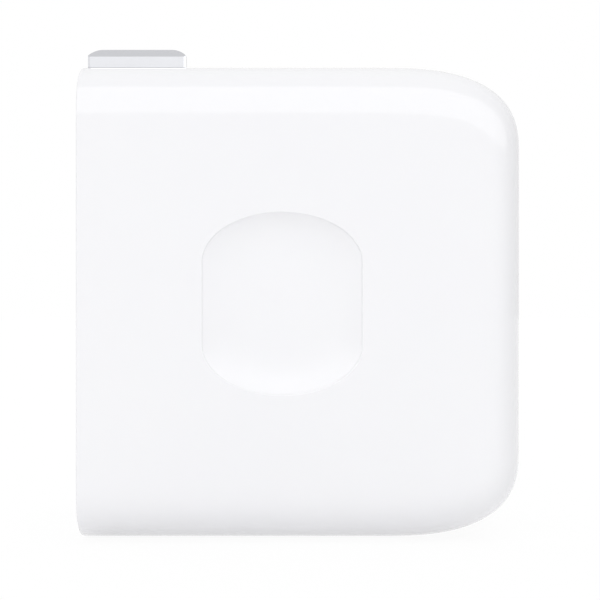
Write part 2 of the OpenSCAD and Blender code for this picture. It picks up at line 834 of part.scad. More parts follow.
module usb_c_shell() {
    color("#c3c6ca") difference() {
        oval(socket_w + 2 * socket_th, socket_h + 2 * socket_th, port_board_front_x, socket_mouth_x);
        oval(socket_w, socket_h, port_board_front_x - past, socket_mouth_x + past);
    }
}

module usb_c_tongue() {
    fit = 0.04;
    color("#232427") {
        oval(socket_w - fit, socket_h - fit, port_board_front_x, socket_end_x);
        block([socket_end_x - past, -tongue_w / 2, mid_z - tongue_th / 2],
            [socket_end_x + tongue_len, tongue_w / 2, mid_z + tongue_th / 2]);
    }
}

module usb_c_contacts() {
    strip_w = 0.26;
    strip_th = 0.06;
    strip_len = 3.4;
    color("#d8b25a")
        for (i = [0:contact_count - 1], low_z = [mid_z - tongue_th / 2 - strip_th, mid_z + tongue_th / 2])
            let (y = (i - (contact_count - 1) / 2) * contact_pitch)
            block([socket_end_x, y - strip_w / 2, low_z],
                [socket_end_x + strip_len, y + strip_w / 2, low_z + strip_th]);
}

housing_shell();
wall_plate();
hinge_cover();
prong_rotor();
blade_line();
blade_neutral();
detent_spring();
contact_spring_line();
contact_spring_neutral();
input_board();
main_board();
port_board();
fuse();
inrush_thermistor();
x_capacitor();
choke_core();
choke_windings();
bridge_rectifier();
transformer_core();
transformer_bobbin();
transformer_winding();
y_capacitor();
optocoupler();
switch_controller();
sync_rectifier();
heat_spreader();
thermal_pad();
isolation_sheet();
bulk_capacitors();
output_capacitor();
pd_controller();
load_switch();
usb_c_shell();
usb_c_tongue();
usb_c_contacts();
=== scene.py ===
"""Compact wall-plug power adapter: glossy white housing, fold-away plated blades, output socket.

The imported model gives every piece's place. The housing is built again here as a fine lofted shell,
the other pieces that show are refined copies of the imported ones, and every piece gets its finish.
+X points away from the wall, +Y across the blades, +Z up. Shapes are worked out in millimetres.
"""
import math

import bmesh
import bpy
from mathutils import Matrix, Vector


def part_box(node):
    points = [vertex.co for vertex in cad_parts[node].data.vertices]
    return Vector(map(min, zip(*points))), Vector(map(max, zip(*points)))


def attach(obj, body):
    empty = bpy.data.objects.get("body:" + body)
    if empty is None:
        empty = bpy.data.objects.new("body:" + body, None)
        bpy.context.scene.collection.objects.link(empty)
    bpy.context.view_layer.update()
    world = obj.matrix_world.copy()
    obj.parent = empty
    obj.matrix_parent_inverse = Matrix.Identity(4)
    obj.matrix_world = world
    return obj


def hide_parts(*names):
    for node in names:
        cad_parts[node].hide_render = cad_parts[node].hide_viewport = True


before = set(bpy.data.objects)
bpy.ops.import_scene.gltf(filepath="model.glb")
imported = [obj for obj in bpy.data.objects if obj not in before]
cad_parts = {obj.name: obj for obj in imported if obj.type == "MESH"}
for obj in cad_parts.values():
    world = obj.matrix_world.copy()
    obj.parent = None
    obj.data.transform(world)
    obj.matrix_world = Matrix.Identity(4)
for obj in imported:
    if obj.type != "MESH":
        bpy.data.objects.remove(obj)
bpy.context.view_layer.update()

MM = 0.001

# ---- driving sizes of the housing, in millimetres ---------------------------

WALL = 1.7
# The top and bottom edges roll over this much of the thickness and height, and the port's edges over
# this much of the depth and thickness
EDGE_ROLL_Y, EDGE_ROLL_Z = 6.5, 4.8
PORT_ROLL_X, PORT_ROLL_Y = 2.4, 3.7
# Higher powers keep a roll flatter: at the top and bottom, at the broad side, and at the port
EDGE_POWER_TOP, EDGE_POWER_SIDE, PORT_POWER = 2.1, 4.2, 2.4
# The side outline's squared-off corners at the port
CORNER_X, CORNER_Z = 8.7, 5.8
CORNER_POWER = 2.8
# How much smaller the inner skin's rolls are, as a share of the wall
INNER_SHRINK = 0.9

DISH_W, DISH_STRAIGHT_H, DISH_ARC_H = 10.0, 5.1, 3.15
DISH_DEPTH = 0.75
# The dish has a crisp lip: a small arc that turns over into a short steep step
DISH_LIP_R, DISH_LIP_TURN = 0.09, math.radians(82)
# How far the dish lies from the middle, towards the wall and downwards
DISH_SHIFT, DISH_DROP = 1.1, 0.1
# Higher powers bring the bowl down more steeply at its rim, along its height and across it
DISH_POWER, DISH_SIDE_POWER = 8.0, 3.0
# Share of the dish's height at which its floor is flat
DISH_FLAT = 0.45

SLOT_CLEAR = 0.2
SOCKET_CLEAR = 0.12
MOUTH_FLARE = 0.22
# How far a cutter reaches past the surface that it cuts
PAST = 1.0

# Width of the rounding on each piece's edges
HOUSING_EDGE, MOULDED_EDGE, BLADE_EDGE, SOCKET_EDGE, TONGUE_EDGE = 0.09, 0.08, 0.02, 0.05, 0.04
ROUNDING_STEPS = 3
# How firmly flat faces keep their own direction beside rounded edges
FLAT_HOLD = 80
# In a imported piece, corners closer than this are one corner, and neighbouring faces that turn less than
# this are one flat face
SAME_CORNER, FLAT_DEG = 0.0001, 0.5

ROLL_STEPS = 40
RUN_STEPS = 12
CORNER_STEPS = 40
INNER_CORNER_STEPS = 16
ARC_STEPS = 40
BOWL_STEPS = 26
# Above 1 the bowl's levels stand closer together at the rim, where it curves most
BOWL_CROWDING = 1.5
# Steps in the small rounded lips of the dishes and of the socket's mouth
LIP_STEPS = 4

# ---- camera, in pixels and millimetres ----------------------------------------

PICTURE_PX = 600
# Distance and scale of the near broad face
NEAR_DISTANCE = 130.0
NEAR_PX_PER_MM = 16.25
CAMERA_HEIGHT = 15.126
SENSOR = 36.0

# ---- floor and light --------------------------------------------------------------

FLOOR_HALF = 1500.0
WHITE = "#ffffff"
# What the floor sends back up to the piece: its colour, and a glow that the piece can't shade
FLOOR_BOUNCE, FLOOR_GLOW = "#e3e3e3", 0.16
# How much of the piece's shadow the floor shows
FLOOR_SHADOW_SHARE = 0.06

# Overhead light box: its reach to the front, back and sides as a share of its height
BOX_FRONT, BOX_BACK, BOX_SIDE = 4.9, -0.2, 10.0
# How softly the box ends, in the same share
BOX_EDGE, BOX_SIDE_EDGE = 0.008, 0.25
# What polished faces show: the studio's front and back walls, and what the box adds to them
FRONT_SHINE, BACK_SHINE, BOX_SHINE = 1.0, 0.86, 0.75

# Two broad soft lights on each broad side: height above the floor in degrees, and strength
LOW_LIGHT_DEG, LOW_LIGHT = 10, 0.136
HIGH_LIGHT_DEG, HIGH_LIGHT = 45, 1.6
# Higher powers gather each light closer round its middle
LIGHT_NARROWNESS = 2.0
# Ways lower than this count as level, so that nothing is divided by zero
LEVEL = 0.001


def node_box(name):
    """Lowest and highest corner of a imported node, in millimetres."""
    low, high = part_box(name)
    return low / MM, high / MM


SHELL_LOW, SHELL_HIGH = node_box("housing_shell")
WALL_X, PORT_X = SHELL_LOW.x, SHELL_HIGH.x
HALF_T, TOP_Z = SHELL_HIGH.y, SHELL_HIGH.z
MID_Z = TOP_Z / 2


# ---- node trees -------------------------------------------------------------------

# Length of one wave of a wave texture at scale 1
WAVE_LENGTH = math.pi / 10
# Between these lie most values of a noise texture
NOISE_LOW, NOISE_HIGH = 0.3, 0.7
CLOUD_DETAIL = 2.0
# Spacing of the glass threads in a board
THREAD_PITCH = 0.4
# How high a wound turn stands up, as a share of its width
TURN_RISE = 0.4

# The blade's chamfered tip, the painted shadow line where the blade leaves the housing's slot, and how softly
# each one ends
TIP_CHAMFER_H, SLOT_SHADE_H, FINISH_EDGE = 0.52, 0.22, 0.03
# Painted reflection: the tip's chamfer is coloured darker in place of the dark studio that it reflects
# Painted shadow: a darker line stands in for the shade where the blade enters its slot
TIP_REFLECTION_PAINT, SLOT_SHADE_PAINT = "#d8d9dd", "#cbccd0"
BLADE_TIP_Z = node_box("blade_line")[1].z


def linear(colour):
    """An sRGB hex colour as the linear colour that a socket takes."""
    channels = [int(colour[i:i + 2], 16) / 255 for i in (1, 3, 5)]
    return [c / 12.92 if c <= 0.04045 else ((c + 0.055) / 1.055) ** 2.4 for c in channels] + [1]


def add(tree, kind, inputs=None, output=0, **settings):
    """Adds a node and returns one of its outputs. Inputs are values or other nodes' outputs."""
    made = tree.nodes.new(kind)
    for name, value in settings.items():
        setattr(made, name, value)
    for socket, value in (inputs or {}).items():
        if isinstance(value, bpy.types.NodeSocket):
            tree.links.new(value, made.inputs[socket])
        else:
            made.inputs[socket].default_value = value
    return made.outputs[output] if len(made.outputs) else made


def finish(name, dark, light, roughness, cloud_mm, mark_mm, height_mm, stretch=(1, 1, 1), detail=3.0,
           drawn=None, **shader_values):
    """A surface finish. Clouds of cloud_mm run its colour from dark to light. Marks of mark_mm, drawn out
    the way the surface was worked, run its roughness between two limits and stand height_mm high.
    Where a pattern is drawn, such as a weave, it colours and raises the surface instead."""
    material = bpy.data.materials.new(name)
    material.use_nodes = True
    tree = material.node_tree
    tree.nodes.clear()
    place = add(tree, "ShaderNodeTexCoord", output="Object")
    clouds = add(tree, "ShaderNodeTexNoise", {"Vector": place, "Scale": 1 / (cloud_mm * MM),
                                              "Detail": CLOUD_DETAIL})
    worked = add(tree, "ShaderNodeMapping", {"Vector": place, "Scale": stretch})
    marks = add(tree, "ShaderNodeTexNoise", {"Vector": worked, "Scale": 1 / (mark_mm * MM), "Detail": detail})
    pattern = drawn(tree, place) if drawn else None
    colour = add(tree, "ShaderNodeMix", {0: pattern or clouds, 6: linear(dark), 7: linear(light)},
                 output=2, data_type="RGBA")
    dullness = add(tree, "ShaderNodeMapRange", {"Value": marks, "From Min": NOISE_LOW, "From Max": NOISE_HIGH,
                                                "To Min": roughness[0], "To Max": roughness[1]})
    raised = add(tree, "ShaderNodeBump", {"Height": pattern or marks, "Distance": height_mm * MM})
    shader = add(tree, "ShaderNodeBsdfPrincipled", {
        "Base Color": colour, "Roughness": dullness, "Normal": raised,
        **{socket.replace("_", " "): value for socket, value in shader_values.items()}})
    add(tree, "ShaderNodeOutputMaterial", {"Surface": shader})
    return material


# ---- finishes -------------------------------------------------------------------

def glossy_polycarbonate():
    """Polycarbonate moulded in a polished tool: near white, with a clear and sharp shine.
    The faint waviness of a moulded skin, 6 mm across, keeps reflections from being mirror-straight."""
    return finish("glossy_white_polycarbonate", "#f5f5f8", "#f7f7f9", (0.02, 0.04), cloud_mm=9.0,
                  mark_mm=6.0, height_mm=0.002, detail=0.0, IOR=1.585)


def satin_grip():
    """The same polymer where the tool was left satin, so that fingers hold: its shine is spread wide.
    The grit itself is too fine to see, so it shows only in how wide the shine spreads."""
    return finish("satin_grip_polycarbonate", "#f5f5f8", "#f7f7f9", (0.28, 0.3), cloud_mm=9.0,
                  mark_mm=3.0, height_mm=0.0005, detail=0.0, IOR=1.585)


def satin_polycarbonate():
    """The same polymer from a spark-eroded tool: a fine even satin on faces that touch the wall.
    Spark-erosion pits are about 0.02 mm and are drawn at 0.12 mm so that they show."""
    return finish("satin_white_polycarbonate", "#eeeef1", "#f3f3f5", (0.3, 0.42), cloud_mm=7.0,
                  mark_mm=0.12, height_mm=0.006, IOR=1.585)


def plated_brass():
    """Rolled brass with bright nickel plating: a cool silver with faint lines along the blade.
    Rolling lines are a few hundredths of a millimetre apart and are drawn at 0.1 mm."""
    material = finish("bright_nickel_plated_brass", "#e7e8ec", "#ebecf0", (0.1, 0.19), cloud_mm=2.5,
                      mark_mm=0.1, height_mm=0.0015, stretch=(1, 1, 0.03), Metallic=1.0)
    tree = material.node_tree
    shade = tree.nodes["Principled BSDF"].inputs["Base Color"]
    place = add(tree, "ShaderNodeTexCoord", output="Object")
    height = add(tree, "ShaderNodeSeparateXYZ", {0: place}, output="Z")
    # Painted light: the chamfer across the tip is coloured darker as a painted dark reflection, and a painted
    # shadow line darkens the blade where it leaves the housing's slot
    tip_start, slot_shade_top = BLADE_TIP_Z - TIP_CHAMFER_H, TOP_Z + SLOT_SHADE_H
    for from_z, to_z, colour in ((tip_start - FINISH_EDGE, tip_start + FINISH_EDGE, TIP_REFLECTION_PAINT),
                                 (slot_shade_top + FINISH_EDGE, slot_shade_top - FINISH_EDGE, SLOT_SHADE_PAINT)):
        share = add(tree, "ShaderNodeMapRange", {"Value": height, "From Min": from_z * MM,
                                                 "From Max": to_z * MM})
        painted_shade_colour = add(tree, "ShaderNodeMix", {0: share, 6: shade.links[0].from_socket, 7: linear(colour)},
                     output=2, data_type="RGBA")
        tree.links.new(painted_shade_colour, shade)
    return material


def stamped_stainless():
    """Tin-plated stainless strip, stamped and folded: soft silver with drawing lines.
    The lines are a few hundredths of a millimetre apart and are drawn at 0.12 mm."""
    return finish("stamped_stainless_steel", "#b9bbbe", "#d0d2d5", (0.17, 0.32), cloud_mm=1.5,
                  mark_mm=0.12, height_mm=0.003, stretch=(0.05, 1, 1), Metallic=1.0)


def spring_steel():
    """Cold-rolled spring strip: darker steel with a blued tone and rolling lines.
    The lines are a few hundredths of a millimetre apart and are drawn at 0.15 mm."""
    return finish("cold_rolled_spring_steel", "#8f949b", "#b4b8bd", (0.2, 0.38), cloud_mm=1.2,
                  mark_mm=0.15, height_mm=0.003, stretch=(1, 1, 0.05), Metallic=1.0)


def phosphor_bronze():
    """Rolled phosphor bronze: warm copper-gold strip with fine lines and slight tarnish.
    The lines are a few hundredths of a millimetre apart and are drawn at 0.12 mm."""
    return finish("rolled_phosphor_bronze", "#a96f45", "#d39a68", (0.18, 0.36), cloud_mm=0.8,
                  mark_mm=0.12, height_mm=0.003, stretch=(1, 1, 0.05), Metallic=1.0)


def gold_flash():
    """Hard gold flash on the contacts: deep yellow with wear marks of about 0.1 mm."""
    return finish("gold_flashed_contact", "#c79a3e", "#e8c56a", (0.14, 0.3), cloud_mm=0.25,
                  mark_mm=0.1, height_mm=0.001, Metallic=1.0)


def liquid_crystal_polymer():
    """Black liquid-crystal polymer: dense moulded black with a dull sheen.
    Its flow marks are about half a millimetre across and drawn out along the flow."""
    return finish("moulded_black_polymer", "#161719", "#26272a", (0.38, 0.55), cloud_mm=0.8,
                  mark_mm=0.5, height_mm=0.004, stretch=(0.3, 1, 1), detail=4.0, IOR=1.6)


def moulded_inner_plastic():
    """Grey-white inner moulding with a matt tool finish.
    The tool's pits are about 0.05 mm and are drawn at 0.15 mm so that they show."""
    return finish("matt_inner_moulding", "#d3d3d6", "#dfdfe1", (0.45, 0.6), cloud_mm=5.0,
                  mark_mm=0.15, height_mm=0.006, IOR=1.5)


def solder_mask():
    """Glass-epoxy board under green solder mask: the weave shows as a fine light and dark grid."""
    def weave(tree, place):
        threads = [add(tree, "ShaderNodeTexWave", {"Vector": place, "Distortion": 0.5,
                                                   "Scale": WAVE_LENGTH / (THREAD_PITCH * MM)},
                       output="Fac", bands_direction=axis) for axis in ("Y", "Z")]
        return add(tree, "ShaderNodeMath", {0: threads[0], 1: threads[1]}, operation="MULTIPLY")

    return finish("green_solder_mask", "#1f5a30", "#2f7a45", (0.24, 0.38), cloud_mm=4.0,
                  mark_mm=0.6, height_mm=0.004, drawn=weave, IOR=1.52)


def ceramic(name, dark, light, roughness):
    """Fired or dipped ceramic: an even body colour with fine mottling and a slight orange peel,
    both somewhat over half a millimetre across."""
    return finish(name, dark, light, roughness, cloud_mm=0.7, mark_mm=0.5, height_mm=0.01, IOR=1.6)


def sintered_ferrite():
    """Pressed and sintered ferrite: dark grey, dull, with a sandy grain.
    Its grains are about 0.02 mm and are drawn at 0.15 mm so that they show."""
    return finish("sintered_ferrite", "#2b2d30", "#45484c", (0.52, 0.72), cloud_mm=0.3,
                  mark_mm=0.15, height_mm=0.012, detail=5.0, IOR=2.0)


def wound_wire(name, dark, light, pitch_mm, metallic):
    """Enamelled or taped turns side by side: round ridges, one for each turn of the wire or tape."""
    def turns(tree, place):
        return add(tree, "ShaderNodeTexWave", {"Vector": place, "Scale": WAVE_LENGTH / (pitch_mm * MM)},
                   output="Fac", bands_direction="Z")

    return finish(name, dark, light, (0.22, 0.4), cloud_mm=2.0, mark_mm=0.4,
                  height_mm=TURN_RISE * pitch_mm, drawn=turns, Metallic=metallic)


def chip_package():
    """Epoxy mould compound: charcoal, slightly speckled with silica.
    The silica is about 0.03 mm and is drawn at 0.08 mm so that it shows."""
    return finish("charcoal_mould_compound", "#1a1b1e", "#2b2c30", (0.45, 0.65), cloud_mm=0.15,
                  mark_mm=0.08, height_mm=0.005, detail=4.0, IOR=1.55)


def rolled_aluminium(name, dark, light, roughness):
    """Rolled or drawn aluminium: light grey with soft draw lines.
    The lines are a few hundredths of a millimetre apart and are drawn at 0.2 mm."""
    return finish(name, dark, light, roughness, cloud_mm=2.0,
                  mark_mm=0.2, height_mm=0.004, stretch=(0.05, 1, 1), Metallic=1.0)


def film(name, dark, light, roughness):
    """Cast film, sleeve or pad: an even polymer colour with soft cloudy thickness."""
    return finish(name, dark, light, roughness, cloud_mm=1.5, mark_mm=0.8, height_mm=0.01, IOR=1.5)


# ---- mesh building ----------------------------------------------------------------

def quarter(a, b, power_a, power_b, steps):
    """A quarter of a squared-off oval from (a, 0) to (0, b)."""
    turns = [math.pi / 2 * i / steps for i in range(steps + 1)]
    return [(a * max(0.0, math.cos(t)) ** (2 / power_a), b * max(0.0, math.sin(t)) ** (2 / power_b))
            for t in turns]


def rolled(depth, roll):
    """How far the port face's edge is still rolled in at a depth below the face, as a share of its roll."""
    u = max(0.0, 1 - depth / roll)
    return 1 - (1 - u ** PORT_POWER) ** (1 / PORT_POWER)


def side_outline(inset, dx, dz, left, steps):
    """Side outline of the body, open at the wall side, rolled in by dx and dz."""
    cx, cz = PORT_X - CORNER_X, MID_Z - CORNER_Z
    corner = quarter(CORNER_X - inset - dx, CORNER_Z - inset - dz, CORNER_POWER, CORNER_POWER, steps)
    run = [left + (cx - left) * i / RUN_STEPS for i in range(RUN_STEPS)]
    upper = [(x, cz + CORNER_Z - inset - dz) for x in run] + [(cx + x, cz + z) for x, z in reversed(corner)]
    return [(x, -z) for x, z in upper] + list(reversed(upper))


def body_rings(inset, left, corner_steps):
    """Rings of the rolled body across its thickness, from the near side to the far side."""
    ry, rz = EDGE_ROLL_Y - INNER_SHRINK * inset, EDGE_ROLL_Z - INNER_SHRINK * inset
    px, py = PORT_ROLL_X - INNER_SHRINK * inset, PORT_ROLL_Y - INNER_SHRINK * inset
    half = HALF_T - inset
    near = [(-half + ry - y, px * rolled(ry - y, py), rz - z)
            for y, z in quarter(ry, rz, EDGE_POWER_TOP, EDGE_POWER_SIDE, ROLL_STEPS)]
    slices = near + [(-y, dx, dz) for y, dx, dz in reversed(near)]
    return [[(x, y, MID_Z + z) for x, z in side_outline(inset, dx, dz, left, corner_steps)]
            for y, dx, dz in slices]


def make_piece(name, points_mm, faces):
    """A mesh object in metres from points in millimetres."""
    mesh = bpy.data.meshes.new(name)
    mesh.from_pydata([(x * MM, y * MM, z * MM) for x, y, z in points_mm], [], faces)
    mesh.update()
    piece = bpy.data.objects.new(name, mesh)
    bpy.context.scene.collection.objects.link(piece)
    return piece


def strip_faces(first, second, closed):
    """Quads between two rows of point numbers."""
    count = len(first)
    steps = count if closed else count - 1
    return [(first[i], first[(i + 1) % count], second[(i + 1) % count], second[i]) for i in range(steps)]


def loft_piece(name, rings):
    """A closed solid through rings of points with the same count."""
    count = len(rings[0])
    rows = [list(range(k * count, (k + 1) * count)) for k in range(len(rings))]
    faces = [tuple(reversed(rows[0])), tuple(rows[-1])]
    for low, high in zip(rows, rows[1:]):
        faces += strip_faces(low, high, closed=True)
    piece = make_piece(name, [p for ring in rings for p in ring], faces)
    turn_outwards(piece)
    return piece


def turn_outwards(piece):
    """Makes every face of a closed mesh look outwards."""
    work = bmesh.new()
    work.from_mesh(piece.data)
    bmesh.ops.recalc_face_normals(work, faces=work.faces)
    work.to_mesh(piece.data)
    work.free()


def apply_modifiers(piece):
    """Turns the piece's modifiers into its mesh."""
    depsgraph = bpy.context.evaluated_depsgraph_get()
    done = bpy.data.meshes.new_from_object(piece.evaluated_get(depsgraph))
    piece.modifiers.clear()
    piece.data = done


def cut(piece, cutters):
    """Takes the cutters out of the piece and removes them."""
    for cutter in cutters:
        change = piece.modifiers.new("cut", "BOOLEAN")
        change.operation = "DIFFERENCE"
        change.solver = "EXACT"
        # The surface that a cutter leaves has the cutter's finish
        change.material_mode = "TRANSFER"
        change.object = cutter
        apply_modifiers(piece)
        bpy.data.objects.remove(cutter)


def soften(piece, width_mm, round_deg=40, crease_deg=50):
    """Rounds edges sharper than round_deg, then shades smooth with flat faces kept flat."""
    rounding = piece.modifiers.new("soften", "BEVEL")
    rounding.width = width_mm * MM
    rounding.segments = ROUNDING_STEPS
    rounding.limit_method = "ANGLE"
    rounding.angle_limit = math.radians(round_deg)
    rounding.use_clamp_overlap = False
    apply_modifiers(piece)
    piece.data.shade_smooth()
    piece.data.set_sharp_from_angle(angle=math.radians(crease_deg))
    flat = piece.modifiers.new("flat_faces", "WEIGHTED_NORMAL")
    flat.keep_sharp = True
    flat.weight = FLAT_HOLD
    apply_modifiers(piece)


# ---- housing ------------------------------------------------------------------------

def shell_body():
    """Outer skin, rim at the wall side and inner skin as one closed mesh."""
    outer = body_rings(0.0, WALL_X, CORNER_STEPS)
    inner = body_rings(WALL, WALL_X, INNER_CORNER_STEPS)
    points, faces, rims = [], [], []
    for rings in (outer, inner):
        rows = []
        for ring in rings:
            rows.append(list(range(len(points), len(points) + len(ring))))
            points += ring
        faces += [tuple(rows[0]), tuple(rows[-1])]
        for low, high in zip(rows, rows[1:]):
            faces += strip_faces(low, high, closed=False)
        # Points are ordered bottom left to top left, so the rim runs down one side and up the other
        rims.append([row[-1] for row in rows] + [row[0] for row in reversed(rows)])
    faces += strip_faces(rims[0], rims[1], closed=True)
    piece = make_piece("housing_cup", points, faces)
    turn_outwards(piece)
    return piece


def dish_outline(share, narrow, grow):
    """Outline of a finger dish, seen from its side: straight sides with an elliptic arc at each end."""
    straight, arc = share * DISH_STRAIGHT_H / 2, share * DISH_ARC_H
    points = []
    for side in (1, -1):
        for i in range(ARC_STEPS + 1):
            t = math.pi * i / ARC_STEPS + (0 if side > 0 else math.pi)
            points.append(((narrow * DISH_W / 2 + grow) * math.cos(t) - DISH_SHIFT,
                           MID_Z - DISH_DROP + side * straight + (arc + grow) * math.sin(t)))
    return points


def dish_cutter(side, finish_inside):
    """What a finger dish takes out: a crisp lip and a bowl that flattens inwards."""
    # Each level: its share of the height and of the width, how much it grows, and its depth
    levels = [(1.0, 1.0, 0.0, -PAST)]
    for i in range(LIP_STEPS + 1):
        turn = DISH_LIP_TURN * i / LIP_STEPS
        levels.append((1.0, 1.0, -DISH_LIP_R * math.sin(turn), DISH_LIP_R * (1 - math.cos(turn))))
    _, _, lip_in, lip_depth = levels[-1]
    for i in range(1, BOWL_STEPS + 1):
        share = 1 - (1 - DISH_FLAT) * (i / BOWL_STEPS) ** BOWL_CROWDING
        left = share ** DISH_POWER
        levels.append((share, left ** (1 / DISH_SIDE_POWER), lip_in,
                       DISH_DEPTH - (DISH_DEPTH - lip_depth) * left))
    cutter = loft_piece("dish", [
        [(x, side * (HALF_T - depth), z) for x, z in dish_outline(share, narrow, grow)]
        for share, narrow, grow, depth in levels])
    cutter.data.materials.append(finish_inside)
    return cutter


def oval_outline(width, height):
    """Outline of a flat oval across the thickness."""
    r = height / 2
    points = []
    for side in (1, -1):
        for i in range(ARC_STEPS + 1):
            t = math.pi * i / ARC_STEPS - math.pi / 2 + (0 if side > 0 else math.pi)
            points.append((side * (width / 2 - r) + r * math.cos(t), MID_Z + r * math.sin(t)))
    return points


def mouth_cutter():
    """The hole for the socket, with its lip rounded off at the port face."""
    shell_low, shell_high = node_box("usb_c_shell")
    width = shell_high.y - shell_low.y + 2 * SOCKET_CLEAR
    height = shell_high.z - shell_low.z + 2 * SOCKET_CLEAR
    levels = [(PORT_X + PAST, MOUTH_FLARE)]
    for i in range(LIP_STEPS + 1):
        t = math.pi / 2 * i / LIP_STEPS
        levels.append((PORT_X - MOUTH_FLARE * (1 - math.cos(t)), MOUTH_FLARE * (1 - math.sin(t))))
    levels.append((PORT_X - 2 * WALL, 0.0))
    return loft_piece("mouth", [[(x, y, z) for y, z in oval_outline(width + 2 * grow, height + 2 * grow)]
                                for x, grow in levels])


def slot_cutter(blade):
    """The notch that lets a folded blade stand out of the housing's top edge."""
    low, high = node_box(blade)
    back = high.x + SLOT_CLEAR
    corners = [(WALL_X - PAST, low.y - SLOT_CLEAR), (back, low.y - SLOT_CLEAR),
               (back, high.y + SLOT_CLEAR), (WALL_X - PAST, high.y + SLOT_CLEAR)]
    return loft_piece("slot", [[(x, y, z) for x, y in corners] for z in (MID_Z, TOP_Z + PAST)])


def housing(outside, in_dishes):
    """The white cup-shaped housing."""
    piece = shell_body()
    piece.data.materials.append(outside)
    cut(piece, [dish_cutter(-1, in_dishes), dish_cutter(1, in_dishes), mouth_cutter(),
                slot_cutter("blade_line"), slot_cutter("blade_neutral")])
    soften(piece, HOUSING_EDGE, round_deg=75)
    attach(piece, "housing")
    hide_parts("housing_shell")


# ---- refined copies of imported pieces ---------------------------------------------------

def refined(node, name, body, slot, surface, softening_mm, **limits):
    """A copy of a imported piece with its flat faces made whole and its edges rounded."""
    piece = bpy.data.objects.new(name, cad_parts[node].data.copy())
    bpy.context.scene.collection.objects.link(piece)
    work = bmesh.new()
    work.from_mesh(piece.data)
    bmesh.ops.remove_doubles(work, verts=work.verts, dist=SAME_CORNER * MM)
    bmesh.ops.dissolve_limit(work, angle_limit=math.radians(FLAT_DEG), verts=work.verts, edges=work.edges)
    work.to_mesh(piece.data)
    work.free()
    for attribute in [a for a in piece.data.attributes if a.name == "custom_normal"]:
        piece.data.attributes.remove(attribute)
    soften(piece, softening_mm, **limits)
    piece.data.materials.clear()
    piece.data.materials.append(surface)
    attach(piece, body)
    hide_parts(node)


# ---- stage --------------------------------------------------------------------------------

def white_floor():
    """A white floor that shows the piece's shadow faintly and sends soft light back up."""
    floor = make_piece("floor", [(-FLOOR_HALF, -FLOOR_HALF, 0), (FLOOR_HALF, -FLOOR_HALF, 0),
                                 (FLOOR_HALF, FLOOR_HALF, 0), (-FLOOR_HALF, FLOOR_HALF, 0)], [(0, 1, 2, 3)])
    material = bpy.data.materials.new("white_floor")
    material.use_nodes = True
    tree = material.node_tree
    tree.nodes.clear()
    path = add(tree, "ShaderNodeLightPath").node.outputs
    seen = add(tree, "ShaderNodeMath", {0: path["Is Camera Ray"], 1: path["Is Glossy Ray"]},
               operation="MAXIMUM")
    seen = add(tree, "ShaderNodeMath", {0: seen, 1: path["Is Transmission Ray"]}, operation="MAXIMUM")
    shaded = add(tree, "ShaderNodeBsdfDiffuse", {"Color": linear(WHITE)})
    white = add(tree, "ShaderNodeEmission", {"Color": linear(WHITE), "Strength": 1.0})
    shown = add(tree, "ShaderNodeMixShader", {0: 1 - FLOOR_SHADOW_SHARE, 1: shaded, 2: white})
    bounce = add(tree, "ShaderNodeBsdfDiffuse", {"Color": linear(FLOOR_BOUNCE)})
    glow = add(tree, "ShaderNodeEmission", {"Color": linear(WHITE), "Strength": FLOOR_GLOW})
    lit = add(tree, "ShaderNodeAddShader", {0: bounce, 1: glow})
    mixed = add(tree, "ShaderNodeMixShader", {0: seen, 1: lit, 2: shown})
    add(tree, "ShaderNodeOutputMaterial", {"Surface": mixed})
    floor.data.materials.append(material)


